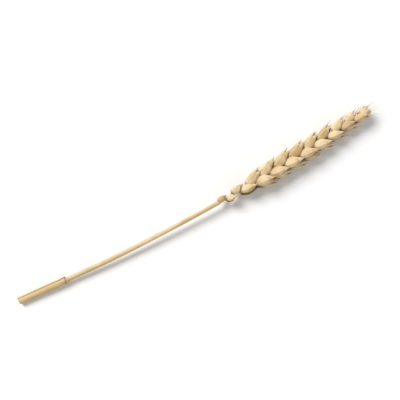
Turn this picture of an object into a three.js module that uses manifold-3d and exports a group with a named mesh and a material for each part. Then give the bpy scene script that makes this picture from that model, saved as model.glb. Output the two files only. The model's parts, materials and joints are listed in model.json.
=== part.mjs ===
/**
 * One dried wheat ear on its own cut stem, lying on a flat surface.
 *
 * Millimetres, +Z up. The stem runs along +X, from its cut end to the tip of the ear, and the
 * broad side of the ear is down. The origin is the middle of the underside of the whole part.
 *
 * The culm and the zigzag rachis are one grown stalk. Spikelets sit on the two sides of the
 * rachis in turn. Each has a left and a right glume, which are boat-shaped outer scales, around
 * two or four florets that are joined at their bases.
 */
import * as THREE from 'three';
import { mergeVertices } from 'three/addons/utils/BufferGeometryUtils.js';
import Module from 'manifold-3d';

const wasm = await Module();
wasm.setup();

// Driving dimensions of the stalk
const STEM_LENGTH = 112; // cut end to the lowest spikelet
const RACHIS_LENGTH = 82; // lowest spikelet to the terminal one
const CUT_END_HEIGHT = 1.95; // axis above the surface at the cut end
const EAR_HEIGHT = 4.84; // axis above the surface inside the ear
const STEM_BOW = -1.6; // sideways bow halfway along the stem
const EAR_LEAN = 8.5; // sideways lean of the ear by its tip
const CULM_RADIUS = 1.3; // at the cut end
const NECK_RADIUS = 1.05; // just below the ear
const RACHIS_RADIUS = 0.75; // at the lowest spikelet
const RACHIS_TIP_RADIUS = 0.45;
const BORE_RADIUS = 0.85; // the straw is hollow
const BORE_LENGTH = 60;
const ZIGZAG = 0.35; // sideways swing of the rachis at each spikelet

// Driving dimensions of the flag leaf's sheath, rolled round the stem
const SHEATH_LENGTH = 26;
const SHEATH_THICKNESS = 0.22;
const SHEATH_GAP = 0.2;
const SHEATH_OVERLAP = 1.15; // turns that the rolled sheet takes
const SHEATH_LIFT = 0.12; // how far the outer edge stands off the layer below it

// Driving dimensions of the ear
const BASAL_SPIKELETS = 3; // small, without florets
const SPIKELETS = 18; // full ones, the terminal one included
const SPLAY = 18; // degrees between a spikelet and the rachis at mid-ear
const SEAT = 0.3; // spikelet base from the axis
const BASAL_SEAT = 0.75; // the same for the small ones, where the rachis is thick
const GAP = 0.3; // clearance between touching pieces
const AWN = 0.9; // pointed tip of a mid-ear lemma
const AWN_AT_TIP = 4.6; // added towards the top of the ear
const BEAK = 0.4; // pointed tip of a glume
const AWN_ROOT = 0.97; // share of a scale's length at which its thin tip starts
const BELLY_SKEW = 0.74; // below 1 puts a scale's widest place nearer its base
const BELLY_FULLNESS = 0.8; // below 1 makes a scale's outline blunter
const LOWEST_SIZE = 0.5; // size of the lowest spikelets against a mid-ear one
const TIP_TAPER = 0.24; // how much smaller the terminal spikelet is

// A scale of a mid-ear spikelet: base along the spikelet, outwards and across, its tilts across
// and outwards in degrees, its length, half width and half depth.
const FLORET_LEFT = { at: [1.2, 0.1, 1.8], across: 10, out: 0, size: [10.6, 2.35, 1.6] };
const FLORET_RIGHT = { at: [2.1, 0.1, -1.8], across: -10, out: 0, size: [10.4, 2.3, 1.6] };
const FLORET_THIRD = { at: [2.8, 0.8, 0.75], across: 3.5, out: 5, size: [9.7, 1.75, 1.6] };
const FLORET_FOURTH = { at: [3.5, 0.6, -0.75], across: -4, out: 3, size: [9, 1.6, 1.5] };
const GLUME_LEFT = { at: [0.1, 0, 2.35], across: 11, out: -1, size: [9.6, 2.6, 1.6] };
const GLUME_RIGHT = { at: [0.6, 0, -2.35], across: -11, out: -1, size: [9.6, 2.6, 1.6] };
const RACHILLA = { at: [0.9, 0, 0], across: 0, out: 0, size: [5.4, 1.1, 2.4] };

// Mesh fineness
const SCALE_SIDES = 7;
const SCALE_RINGS = 6;
const STALK_SIDES = 10;
const STEM_STEPS = 18;
const SLIVER = 0.08; // edges shorter than this are merged away
const SHEATH_STEPS = 6;
const SHEATH_FACETS = 16;

const SPIKELET_COUNT = BASAL_SPIKELETS + SPIKELETS;
const UP = new THREE.Vector3(0, 0, 1);

const FINISH = {
  culm: { color: 0xdcc7a0, roughness: 0.45, metalness: 0 },
  sheath: { color: 0xe6d8ba, roughness: 0.6, metalness: 0 },
  glume: { color: 0xe2cc9c, roughness: 0.65, metalness: 0 },
  floret: { color: 0xe9d7ab, roughness: 0.65, metalness: 0 },
};

/** The smooth line through the stem and the ear, without the zigzag. */
const axis = new THREE.CatmullRomCurve3([
  new THREE.Vector3(0, 0, CUT_END_HEIGHT),
  new THREE.Vector3(STEM_LENGTH / 2, STEM_BOW, (CUT_END_HEIGHT + EAR_HEIGHT) / 2),
  new THREE.Vector3(STEM_LENGTH, 0, EAR_HEIGHT),
  new THREE.Vector3(STEM_LENGTH + RACHIS_LENGTH / 2, EAR_LEAN * 0.4, EAR_HEIGHT),
  new THREE.Vector3(STEM_LENGTH + RACHIS_LENGTH, EAR_LEAN, EAR_HEIGHT),
]);
const AXIS_LENGTH = axis.getLength();

/** Where the axis is at a distance from the cut end, and which way it faces; past its ends it
 * runs straight on. */
function stationAt(distance) {
  const within = THREE.MathUtils.clamp(distance, 0, AXIS_LENGTH);
  const along = axis.getTangentAt(within / AXIS_LENGTH);
  const point = axis.getPointAt(within / AXIS_LENGTH).addScaledVector(along, distance - within);
  const side = new THREE.Vector3().crossVectors(UP, along).normalize();
  const up = new THREE.Vector3().crossVectors(along, side);
  return { point, along, side, up };
}

/** Place of a spikelet in the ear: 0 at the lowest, 1 at the terminal one. */
function rank(index) {
  return index / (SPIKELET_COUNT - 1);
}

/** Distance of a spikelet's node from the cut end; the internodes shorten towards both ends. */
function nodeDistance(index) {
  const share = rank(index);
  const eased = share - 0.01 * Math.sin(2 * Math.PI * share);
  return STEM_LENGTH + (AXIS_LENGTH - STEM_LENGTH) * eased;
}

/** Which side of the rachis a spikelet sits on. */
function sideOf(index) {
  return index % 2 === 0 ? 1 : -1;
}

/** Small steady unevenness between -1 and 1, different for each spikelet and use. */
function unevenness(index, use) {
  return Math.sin(12.9 * index + 78.2 * use);
}

function rise(value, from, to) {
  return THREE.MathUtils.smoothstep(value, from, to);
}

/** Size of a spikelet against a mid-ear one. */
function fullness(index) {
  const share = rank(index);
  const growth = (1 - LOWEST_SIZE) * rise(share, -0.04, 0.26);
  return LOWEST_SIZE + growth - TIP_TAPER * rise(share, 0.5, 1);
}

function awnLength(index) {
  return AWN + AWN_AT_TIP * rise(rank(index), 0.55, 1) * (0.8 + 0.2 * unevenness(index, 5));
}

/** A closed three.js geometry as a manifold solid. */
function toSolid(geometry) {
  geometry.deleteAttribute('normal');
  geometry.deleteAttribute('uv');
  const merged = mergeVertices(geometry, 1e-4);
  return new wasm.Manifold(new wasm.Mesh({
    numProp: 3,
    vertProperties: new Float32Array(merged.attributes.position.array),
    triVerts: new Uint32Array(merged.index.array),
  }));
}

/** The largest piece of a manifold solid as a three.js geometry, without slivers. */
function toGeometry(solid) {
  const smooth = solid.asOriginal().simplify(SLIVER);
  const pieces = smooth.decompose().sort((a, b) => b.volume() - a.volume());
  const mesh = pieces[0].getMesh();
  const geometry = new THREE.BufferGeometry();
  geometry.setAttribute('position', new THREE.BufferAttribute(mesh.vertProperties, 3));
  geometry.setIndex(new THREE.BufferAttribute(mesh.triVerts, 1));
  geometry.computeVertexNormals();
  return geometry;
}

function addMesh(parent, name, geometry, finish) {
  const mesh = new THREE.Mesh(geometry, new THREE.MeshStandardMaterial(FINISH[finish]));
  mesh.name = name;
  parent.add(mesh);
}

/** A round bar along the axis, with a radius and a sideways swing that change along it. */
function bar(from, to, steps, radiusAt, swingAt) {
  const geometry = new THREE.CylinderGeometry(1, 1, 1, STALK_SIDES, steps);
  const position = geometry.attributes.position;
  for (let i = 0; i < position.count; i += 1) {
    const distance = from + (to - from) * (position.getY(i) + 0.5);
    const { point, side, up } = stationAt(distance);
    const radius = radiusAt(distance);
    point.addScaledVector(side, position.getZ(i) * radius + swingAt(distance));
    point.addScaledVector(up, position.getX(i) * radius);
    position.setXYZ(i, point.x, point.y, point.z);
  }
  return toSolid(geometry);
}

/** Radius of the stalk at a distance from the cut end. */
function stalkRadius(distance) {
  if (distance <= STEM_LENGTH) {
    return THREE.MathUtils.lerp(CULM_RADIUS, NECK_RADIUS, distance / STEM_LENGTH);
  }
  const share = (distance - STEM_LENGTH) / (AXIS_LENGTH - STEM_LENGTH);
  const rachis = THREE.MathUtils.lerp(RACHIS_RADIUS, RACHIS_TIP_RADIUS, share);
  return THREE.MathUtils.lerp(NECK_RADIUS, rachis, rise(share, 0, 0.06));
}

/** The rachis swings towards each spikelet in turn, as a rounded zigzag. */
function zigzag(distance) {
  if (distance <= STEM_LENGTH) {
    return 0;
  }
  const share = (distance - STEM_LENGTH) / (AXIS_LENGTH - STEM_LENGTH);
  return ZIGZAG * Math.cos(share * (SPIKELET_COUNT - 1) * Math.PI) * rise(share, 0, 0.08);
}

/** The stem and the rachis, grown by a clearance for cutting their neighbours. */
function stalk(clearance) {
  const radiusAt = (distance) => stalkRadius(distance) + clearance;
  const stem = bar(0, STEM_LENGTH + clearance, STEM_STEPS, radiusAt, zigzag);
  const rachisSteps = (SPIKELET_COUNT - 1) * 2;
  const rachis = bar(STEM_LENGTH - 1, AXIS_LENGTH, rachisSteps, radiusAt, zigzag);
  return stem.add(rachis);
}

/** The grown stalk: a hollow straw below, the zigzag rachis above. */
function culmAndRachis() {
  const bore = bar(-1, BORE_LENGTH, STEM_STEPS / 2, () => BORE_RADIUS, () => 0);
  return toGeometry(stalk(0).subtract(bore));
}

/** The rolled sheet of the sheath: its two edges overlap, so it is not a closed tube. */
function flagLeafSheath() {
  const inner = CULM_RADIUS + SHEATH_GAP;
  const turn = SHEATH_OVERLAP * 2 * Math.PI;
  const ramp = (angle) => inner + (SHEATH_LIFT + SHEATH_THICKNESS) * rise(angle / turn, 0.3, 1);
  const outline = [];
  for (let i = 0; i <= SHEATH_FACETS; i += 1) {
    const angle = (turn * i) / SHEATH_FACETS;
    outline.push(polar(angle, ramp(angle)));
  }
  for (let i = SHEATH_FACETS; i >= 0; i -= 1) {
    const angle = (turn * i) / SHEATH_FACETS;
    outline.push(polar(angle, ramp(angle) + SHEATH_THICKNESS));
  }
  const stretch = [0, 0.5, 1].map((share) => stationAt(SHEATH_LENGTH * share).point);
  return new THREE.ExtrudeGeometry(new THREE.Shape(outline), {
    steps: SHEATH_STEPS,
    extrudePath: new THREE.CatmullRomCurve3(stretch),
  });
}

function polar(angle, radius) {
  return new THREE.Vector2(Math.cos(angle) * radius, Math.sin(angle) * radius);
}

/** Half width of a scale along its length: blunt at the base, fullest below the middle. */
function belly(share) {
  return Math.sin(Math.PI * share ** BELLY_SKEW) ** BELLY_FULLNESS;
}

/** One scale with a drawn-out tip, in the spikelet's frame, grown by a clearance. */
function scale({ at, across, out, size }, ratio, awn, clearance) {
  const [length, halfWidth, halfDepth] = size.map((value) => value * ratio);
  const geometry = new THREE.SphereGeometry(1, SCALE_SIDES, SCALE_RINGS);
  const position = geometry.attributes.position;
  for (let i = 0; i < position.count; i += 1) {
    const height = THREE.MathUtils.clamp(position.getY(i), -1, 1);
    const ring = Math.round((Math.acos(-height) / Math.PI) * SCALE_RINGS);
    const share = (ring / (SCALE_RINGS - 1)) * AWN_ROOT;
    const girth = Math.hypot(position.getX(i), position.getZ(i));
    const round = girth > 1e-6 ? belly(share) / girth : 0;
    const reach = ring === SCALE_RINGS ? length + awn : length * share;
    position.setXYZ(
      i,
      reach + (share > 0.5 ? clearance : -clearance),
      position.getX(i) * round * (halfWidth + clearance),
      position.getZ(i) * round * (halfDepth + clearance),
    );
  }
  geometry.rotateZ(THREE.MathUtils.degToRad(out));
  geometry.rotateY(THREE.MathUtils.degToRad(-across));
  geometry.translate(...at.map((value) => value * ratio));
  // The sphere's own axis was laid along X, which turned it inside out.
  return toSolid(flip(geometry));
}

function flip(geometry) {
  const index = geometry.index;
  for (let i = 0; i < index.count; i += 3) {
    const kept = index.getX(i);
    index.setX(i, index.getX(i + 1));
    index.setX(i + 1, kept);
  }
  return geometry;
}

/** Turns a spikelet's own frame (along it, outwards, across) into its place on the rachis. */
function spikeletPlace(index) {
  const terminal = index === SPIKELET_COUNT - 1;
  const { point, along, side, up } = stationAt(nodeDistance(index));
  const outwards = terminal ? up : side.clone().multiplyScalar(sideOf(index));
  const widest = rise(rank(index), -0.15, 0.3) - 0.38 * rise(rank(index), 0.5, 1);
  const splay = terminal ? 0 : THREE.MathUtils.degToRad(SPLAY * widest + unevenness(index, 1));
  const length = along.clone().multiplyScalar(Math.cos(splay));
  length.addScaledVector(outwards, Math.sin(splay));
  const across = new THREE.Vector3().crossVectors(along, outwards).normalize();
  const back = new THREE.Vector3().crossVectors(across, length);
  const offset = index < BASAL_SPIKELETS ? BASAL_SEAT : SEAT;
  const seat = point.addScaledVector(outwards, terminal ? 0 : offset);
  return new THREE.Matrix4().makeBasis(length, back, across).setPosition(seat);
}

/** The scales of a spikelet, by the piece of it that they make. */
function spikeletScales(index) {
  if (index < BASAL_SPIKELETS) {
    return { whole: [RACHILLA, GLUME_LEFT, GLUME_RIGHT] };
  }
  const pair = [RACHILLA, FLORET_LEFT, FLORET_RIGHT];
  return {
    florets: index === BASAL_SPIKELETS ? pair : [...pair, FLORET_THIRD, FLORET_FOURTH],
    glume_left: [GLUME_LEFT],
    glume_right: [GLUME_RIGHT],
  };
}

/** Only the florets carry an awn; a glume ends in a short beak. */
function awnOf(one, index) {
  if (one === RACHILLA) {
    return 0;
  }
  const isGlume = one === GLUME_LEFT || one === GLUME_RIGHT;
  return isGlume ? BEAK : awnLength(index);
}

/** Every scale in a list as one solid. */
function joined(scales, index, clearance) {
  const ratio = fullness(index) * (1 + 0.03 * unevenness(index, 2));
  return scales
    .map((one) => scale(one, ratio, awnOf(one, index), clearance))
    .reduce((sum, next) => sum.add(next));
}

function spikeletName(index) {
  if (index < BASAL_SPIKELETS) {
    return `basal_spikelet_${index + 1}`;
  }
  if (index === SPIKELET_COUNT - 1) {
    return 'terminal_spikelet';
  }
  return `spikelet_${String(index + 1).padStart(2, '0')}`;
}

/** All the spikelets; each keeps clear of the rachis and of the two spikelets below it. */
function addSpikelets(ear) {
  const rachis = stalk(GAP);
  const envelopes = [];
  for (let index = 0; index < SPIKELET_COUNT; index += 1) {
    const place = spikeletPlace(index);
    const toLocal = place.clone().invert().elements;
    const name = spikeletName(index);
    const scales = spikeletScales(index);
    const neighbours = envelopes.slice(-2).reduce((sum, next) => sum.add(next), rachis);
    const cutter = neighbours.transform(toLocal);
    const group = new THREE.Group();
    group.applyMatrix4(place);
    ear.add(group);

    if (index < BASAL_SPIKELETS) {
      addMesh(group, name, toGeometry(joined(scales.whole, index, 0).subtract(cutter)), 'glume');
    } else {
      const florets = joined(scales.florets, index, 0).subtract(cutter);
      addMesh(group, `${name}_florets`, toGeometry(florets), 'floret');
      const clear = cutter.add(joined(scales.florets, index, GAP));
      for (const piece of ['glume_left', 'glume_right']) {
        const glume = joined(scales[piece], index, 0).subtract(clear);
        addMesh(group, `${name}_${piece}`, toGeometry(glume), 'glume');
      }
    }
    const everyScale = Object.values(scales).flat();
    envelopes.push(joined(everyScale, index, GAP).transform(place.elements));
  }
}

const wheatEar = new THREE.Group();
const ear = new THREE.Group();
wheatEar.add(ear);
addMesh(wheatEar, 'culm_and_rachis', culmAndRachis(), 'culm');
addMesh(wheatEar, 'flag_leaf_sheath', flagLeafSheath(), 'sheath');
addSpikelets(ear);

// The origin goes to the middle of the underside.
wheatEar.updateMatrixWorld(true);
const bounds = new THREE.Box3().setFromObject(wheatEar, true);
const middle = bounds.getCenter(new THREE.Vector3());
wheatEar.position.set(-middle.x, -middle.y, -bounds.min.z);

export default wheatEar;
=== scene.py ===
"""Looks of a dried wheat ear on its cut stem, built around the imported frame."""
import json
import math

import bmesh
import bpy
import numpy as np
from bpy.props import FloatProperty, FloatVectorProperty, IntProperty, PointerProperty
from mathutils import Matrix, Vector, noise

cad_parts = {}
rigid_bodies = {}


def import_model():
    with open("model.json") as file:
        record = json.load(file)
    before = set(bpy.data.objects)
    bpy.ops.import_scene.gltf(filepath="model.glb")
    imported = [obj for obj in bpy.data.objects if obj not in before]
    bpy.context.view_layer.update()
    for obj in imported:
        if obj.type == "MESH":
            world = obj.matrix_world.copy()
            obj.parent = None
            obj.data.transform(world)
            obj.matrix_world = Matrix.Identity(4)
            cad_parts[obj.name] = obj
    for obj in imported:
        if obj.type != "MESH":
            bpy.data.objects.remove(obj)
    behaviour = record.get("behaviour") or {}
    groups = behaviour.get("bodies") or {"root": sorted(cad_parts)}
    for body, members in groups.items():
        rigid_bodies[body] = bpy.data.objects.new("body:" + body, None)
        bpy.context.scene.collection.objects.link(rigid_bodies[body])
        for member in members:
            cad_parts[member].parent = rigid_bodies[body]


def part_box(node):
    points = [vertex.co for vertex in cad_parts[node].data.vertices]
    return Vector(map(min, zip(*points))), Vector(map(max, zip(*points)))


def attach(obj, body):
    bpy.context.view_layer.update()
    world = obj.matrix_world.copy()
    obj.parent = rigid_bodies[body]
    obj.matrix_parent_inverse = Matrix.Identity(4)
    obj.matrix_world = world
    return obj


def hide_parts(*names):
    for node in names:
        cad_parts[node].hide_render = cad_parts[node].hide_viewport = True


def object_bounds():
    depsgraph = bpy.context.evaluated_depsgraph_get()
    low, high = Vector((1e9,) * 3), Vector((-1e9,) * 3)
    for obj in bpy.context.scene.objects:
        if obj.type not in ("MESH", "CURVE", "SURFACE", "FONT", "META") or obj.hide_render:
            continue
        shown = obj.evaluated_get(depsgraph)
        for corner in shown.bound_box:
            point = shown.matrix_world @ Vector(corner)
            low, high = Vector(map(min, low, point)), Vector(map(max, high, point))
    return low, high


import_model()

bl_info = {
    "name": "Wheat Ear",
    "version": (1, 0, 0),
    "blender": (4, 5, 0),
    "location": "View3D > Sidebar > Wheat",
    "description": "Builds the visible pieces of a dried wheat ear on its stem",
    "category": "Object",
}

CAD_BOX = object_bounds()
MM = 0.001

# The stalk's line, as the frame's solids were set out along it
STEM_LENGTH = 112 * MM
RACHIS_LENGTH = 82 * MM
CUT_END_HEIGHT = 1.95 * MM
EAR_HEIGHT = 4.84 * MM
STEM_BOW = -1.6 * MM
EAR_LEAN = 8.5 * MM
CULM_RADIUS = 1.3 * MM
NECK_RADIUS = 1.05 * MM
RACHIS_RADIUS = 0.75 * MM
RACHIS_TIP_RADIUS = 0.45 * MM
BORE_RADIUS = 0.85 * MM
BORE_LENGTH = 60 * MM
ZIGZAG = 0.35 * MM

# The ear's layout
BASAL_SPIKELETS = 3
SPIKELET_COUNT = 21
SPLAY = 17.6  # degrees between a spikelet and the rachis at mid-ear
SEAT = 0.3 * MM
BASAL_SEAT = 0.75 * MM
AWN = 0.9 * MM
AWN_AT_TIP = 4.6 * MM
LOWEST_SIZE = 0.5
TIP_TAPER = 0.24

# Scales of a mid-ear spikelet, in millimetres and degrees: base along the spikelet, outwards and
# across, tilts across and outwards, length, half width and half depth, which side of the spikelet
# it covers, and turn of its back.
LEMMA_LENGTH = 10.6
LEMMA_START = 1.2
GLUME_LENGTH = 9.2
GLUME_START = 0.1
LEMMAS = [
    {"at": (LEMMA_START, 0.0, 1.7), "across": 9.5, "out": 0, "size": (LEMMA_LENGTH, 2.34, 1.63),
     "hand": 1, "roll": 0},
    {"at": (LEMMA_START + 0.6, 0.0, -1.7), "across": -9.5, "out": 0,
     "size": (LEMMA_LENGTH - 0.3, 2.3, 1.63), "hand": -1, "roll": 0},
    {"at": (2.8, 0.8, 0.75), "across": 3.5, "out": 5, "size": (9.7, 1.72, 1.72), "hand": 1,
     "roll": -62},
    {"at": (3.5, 0.6, -0.75), "across": -4, "out": 3, "size": (9.0, 1.6, 1.62), "hand": -1,
     "roll": 66},
]
GLUMES = [
    {"at": (GLUME_START, 0.0, 1.51), "across": 9.5, "out": 0, "size": (GLUME_LENGTH, 2.58, 1.84),
     "hand": 1, "roll": 0},
    {"at": (GLUME_START + 0.6, 0.0, -1.51), "across": -9.5, "out": 0,
     "size": (GLUME_LENGTH, 2.54, 1.84), "hand": -1, "roll": 0},
]
RACHILLA = {"at": (-0.4, -0.25, 0.0), "across": 0, "out": 0, "size": (8.2, 2.0, 2.75), "hand": 1,
            "roll": 0}
VARIANTS = 3
# One number for each use of random draws. The awnlets also take the lemmas' draw, to sit on
# their tips.
DRAWS = {"basal_scales": 1, "glumes": 2, "lemmas": 3, "paleas": 4, "awnlets": 5,
         "rachillas": 6, "rachis_hairs": 8}
CLOSED_TERMINAL = (0.35, 2.2, 0.62)  # how much of a scale's offsets the terminal spikelet keeps


# ---------------------------------------------------------------- the stalk's line

def rounded_line(knots, steps=80):
    """Points along the centripetal Catmull-Rom curve through the knots."""
    chain = [2 * knots[0] - knots[1], *knots, 2 * knots[-1] - knots[-2]]
    points = []
    for i in range(len(knots) - 1):
        a, b, c, d = chain[i:i + 4]
        ab, bc, cd = (math.sqrt((q - p).length) for p, q in ((a, b), (b, c), (c, d)))
        enter = ((b - a) / ab - (c - a) / (ab + bc) + (c - b) / bc) * bc
        leave = ((c - b) / bc - (d - b) / (bc + cd) + (d - c) / cd) * bc
        square = 3 * (c - b) - 2 * enter - leave
        cube = 2 * (b - c) + enter + leave
        for step in range(steps):
            t = step / steps
            points.append(b + enter * t + square * t ** 2 + cube * t ** 3)
    return points + [knots[-1]]


class Stalk:
    """The smooth line from the cut end to the terminal spikelet, measured along itself."""

    def __init__(self):
        knots = [
            Vector((0, 0, CUT_END_HEIGHT)),
            Vector((STEM_LENGTH / 2, STEM_BOW, (CUT_END_HEIGHT + EAR_HEIGHT) / 2)),
            Vector((STEM_LENGTH, 0, EAR_HEIGHT)),
            Vector((STEM_LENGTH + RACHIS_LENGTH / 2, EAR_LEAN * 0.4, EAR_HEIGHT)),
            Vector((STEM_LENGTH + RACHIS_LENGTH, EAR_LEAN, EAR_HEIGHT)),
        ]
        self.points = np.array([tuple(p) for p in rounded_line(knots)])
        steps = np.linalg.norm(np.diff(self.points, axis=0), axis=1)
        self.measure = np.concatenate([[0], np.cumsum(steps)])
        self.length = float(self.measure[-1])
        self.settle()

    def settle(self, stations=120):
        """Moves the line to where the frame's own stalk lies."""
        low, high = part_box("culm_and_rachis")
        shell = []
        for distance in np.linspace(0, self.length, stations):
            point, _, side, up = self.station(distance)
            radius = stalk_radius(distance, self.length)
            centre = point + side * zigzag(distance, self.length)
            for turn in np.linspace(0, 2 * math.pi, 11)[:-1]:
                shell.append(centre + (side * math.sin(turn) + up * math.cos(turn)) * radius)
        shell = np.array([tuple(p) for p in shell])
        middle = (shell.min(0) + shell.max(0)) / 2
        self.points = self.points + (np.array((low + high) / 2) - middle)

    def at(self, distance):
        return Vector(np.interp(distance, self.measure, self.points[:, k]) for k in range(3))

    def station(self, distance):
        """Point, direction, side and up at a distance from the cut end."""
        within = min(max(distance, 0.0), self.length)
        near = 0.5 * MM
        along = (self.at(within + near) - self.at(within - near)).normalized()
        side = Vector((0, 0, 1)).cross(along).normalized()
        return self.at(within) + along * (distance - within), along, side, along.cross(side)


def rise(value, low, high):
    t = min(max((value - low) / (high - low), 0.0), 1.0)
    return t * t * (3 - 2 * t)


def ear_share(distance, length):
    return (distance - STEM_LENGTH) / (length - STEM_LENGTH)


def stalk_radius(distance, length):
    share = ear_share(distance, length)
    if share <= 0:
        return CULM_RADIUS + (NECK_RADIUS - CULM_RADIUS) * distance / STEM_LENGTH
    rachis = RACHIS_RADIUS + (RACHIS_TIP_RADIUS - RACHIS_RADIUS) * share
    return NECK_RADIUS + (rachis - NECK_RADIUS) * rise(share, 0, 0.06)


def zigzag(distance, length):
    share = ear_share(distance, length)
    if share <= 0:
        return 0.0
    return ZIGZAG * math.cos(share * (SPIKELET_COUNT - 1) * math.pi) * rise(share, 0, 0.08)


STALK = Stalk()


# ---------------------------------------------------------------- the ear's layout

def rank(index):
    return index / (SPIKELET_COUNT - 1)


def unevenness(index, use):
    """Small steady unevenness between -1 and 1, different for each spikelet and use."""
    return math.sin(12.9 * index + 78.2 * use)


def fullness(index):
    growth = (1 - LOWEST_SIZE) * rise(rank(index), -0.04, 0.26)
    whole = LOWEST_SIZE + growth - TIP_TAPER * rise(rank(index), 0.5, 1)
    return whole * (1 + 0.03 * unevenness(index, 2))


def awn_length(index):
    return AWN + AWN_AT_TIP * rise(rank(index), 0.55, 1) * (0.8 + 0.2 * unevenness(index, 5))


def spikelet_distance(index):
    eased = rank(index) - 0.01 * math.sin(2 * math.pi * rank(index))
    return STEM_LENGTH + (STALK.length - STEM_LENGTH) * eased


def spikelet_place(index):
    """A spikelet's own frame: X along it, Y outwards, Z across."""
    terminal = index == SPIKELET_COUNT - 1
    point, along, side, up = STALK.station(spikelet_distance(index))
    outwards = up if terminal else side * (1 if index % 2 == 0 else -1)
    widest = rise(rank(index), -0.15, 0.3) - 0.38 * rise(rank(index), 0.5, 1)
    splay = 0 if terminal else math.radians(SPLAY * widest + unevenness(index, 1))
    length = along * math.cos(splay) + outwards * math.sin(splay)
    across = along.cross(outwards).normalized()
    back = across.cross(length)
    seat = 0 if terminal else (BASAL_SEAT if index < BASAL_SPIKELETS else SEAT)
    place = Matrix((length, back, across)).transposed().to_4x4()
    place.translation = point + outwards * seat
    return place


def scale_place(index, scale, jitter=(0, 0, 0)):
    """A scale's own frame: X from its base to its tip, Z towards its back.

    The terminal spikelet is more closed than the others."""
    closed = CLOSED_TERMINAL if index == SPIKELET_COUNT - 1 else (1, 1, 1)
    tilt_across = math.radians(scale["across"] * closed[2] + jitter[0])
    tilt_out = math.radians(scale["out"] * closed[1] + jitter[1])
    roll = math.radians(scale["roll"] + jitter[2])
    offset = Vector(part * k for part, k in zip(scale["at"], closed)) * MM * fullness(index)
    turn = Matrix.Rotation(-tilt_across, 4, "Y") @ Matrix.Rotation(tilt_out, 4, "Z")
    return spikelet_place(index) @ Matrix.Translation(offset) @ turn @ Matrix.Rotation(roll, 4, "X")


def floret_scales(index):
    """The lemmas of a spikelet; the lowest full one has only two florets."""
    if index < BASAL_SPIKELETS:
        return []
    return LEMMAS[:2] if index == BASAL_SPIKELETS else LEMMAS


def spikelet_name(index):
    if index == SPIKELET_COUNT - 1:
        return "terminal_spikelet"
    return f"spikelet_{index + 1:02d}"


def spikelet_nodes(*parts):
    return [f"{spikelet_name(i)}_{p}" for i in range(BASAL_SPIKELETS, SPIKELET_COUNT) for p in parts]


# ---------------------------------------------------------------- where each scale goes

def full_spikelets():
    return range(BASAL_SPIKELETS, SPIKELET_COUNT)


def palea_scales(index):
    """Every floret has a palea; the sterile spikelets hold two stunted ones."""
    return floret_scales(index) or LEMMAS[:2]


def sway(settings, index, scale):
    """Steady random turns and stretches that the scales of one floret share."""
    key = settings.seed + 31 * index + 3 * (scale["hand"] + 1) + (1 if scale["roll"] else 0)
    random = np.random.RandomState(key)
    most = math.degrees(settings.jitter)
    return random.uniform(-most, most, 3), random.uniform(0.96, 1.04, 3), random.uniform(0, 1)


def scale_copies(indices, scales_of, settings, draw, shrink=1.0):
    """Where each scale goes, how big it is, its shape and its tone."""
    random = np.random.RandomState(settings.seed + draw)
    copies = []
    for index in indices:
        for scale in scales_of(index):
            turn, stretch, tone = sway(settings, index, scale)
            ratio = fullness(index) * MM * shrink
            measure = [part * ratio * k for part, k in zip(scale["size"], stretch)]
            shape = random.randint(VARIANTS) + (0 if scale["hand"] > 0 else VARIANTS)
            own_tone = 0.5 + 0.55 * (tone - 0.5) + random.uniform(-0.18, 0.18)
            copies.append((scale_place(index, scale, turn), measure, shape, own_tone))
    return copies


# ---------------------------------------------------------------- mesh work

def band_faces(count, columns):
    """The faces between neighbouring rings of points, all the way round."""
    faces = []
    for i in range(count - 1):
        low, high = i * columns, (i + 1) * columns
        for j in range(columns):
            k = (j + 1) % columns
            faces.append((low + j, low + k, high + k, high + j))
    return faces


def marked_mesh(name, points, faces, marks):
    """A mesh that faces outwards, with a value for each point under each mark's name."""
    mesh = bpy.data.meshes.new(name)
    mesh.from_pydata(points, [], faces)
    for mark, values in marks.items():
        layer = mesh.attributes.new(mark, "FLOAT", "POINT")
        layer.data.foreach_set("value", values)
    face_outwards(mesh)
    return mesh


def skin(name, rings, marks):
    """A mesh over rings of points, closed at both ends by a hub.

    marks holds a value for each ring and column by name."""
    rings = np.asarray(rings, float)
    count, columns = rings.shape[:2]
    points = [tuple(p) for p in rings.reshape(-1, 3)]
    faces = band_faces(count, columns)
    for ring in (0, count - 1):
        points.append(tuple(rings[ring].mean(0)))
        hub = len(points) - 1
        start = ring * columns
        faces += [(start + j, start + (j + 1) % columns, hub) for j in range(columns)]
    spread = {}
    for mark, values in marks.items():
        values = np.asarray(values, float)
        hubs = [float(values[0].mean()), float(values[-1].mean())]
        spread[mark] = list(values.reshape(-1)) + hubs
    return marked_mesh(name, points, faces, spread)


def face_outwards(mesh):
    work = bmesh.new()
    work.from_mesh(mesh)
    bmesh.ops.recalc_face_normals(work, faces=work.faces)
    work.to_mesh(mesh)
    work.free()
    mesh.shade_smooth()


def show(name, mesh, finish, nodes=()):
    """Puts a finished piece into the scene, on the one body."""
    piece = bpy.data.objects.new(name, mesh)
    bpy.context.scene.collection.objects.link(piece)
    if finish is not None:
        mesh.materials.clear()
        mesh.materials.append(finish)
    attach(piece, "root")
    if nodes:
        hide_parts(*nodes)


def rest_on_surface(mesh):
    """Flattens what would dip below the surface that the ear lies on."""
    for vertex in mesh.vertices:
        vertex.co.z = max(vertex.co.z, 0.0)


def store_grain(mesh, vectors):
    layer = mesh.attributes.new("grain", "FLOAT_VECTOR", "POINT")
    layer.data.foreach_set("vector", [c for v in vectors for c in v])


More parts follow.
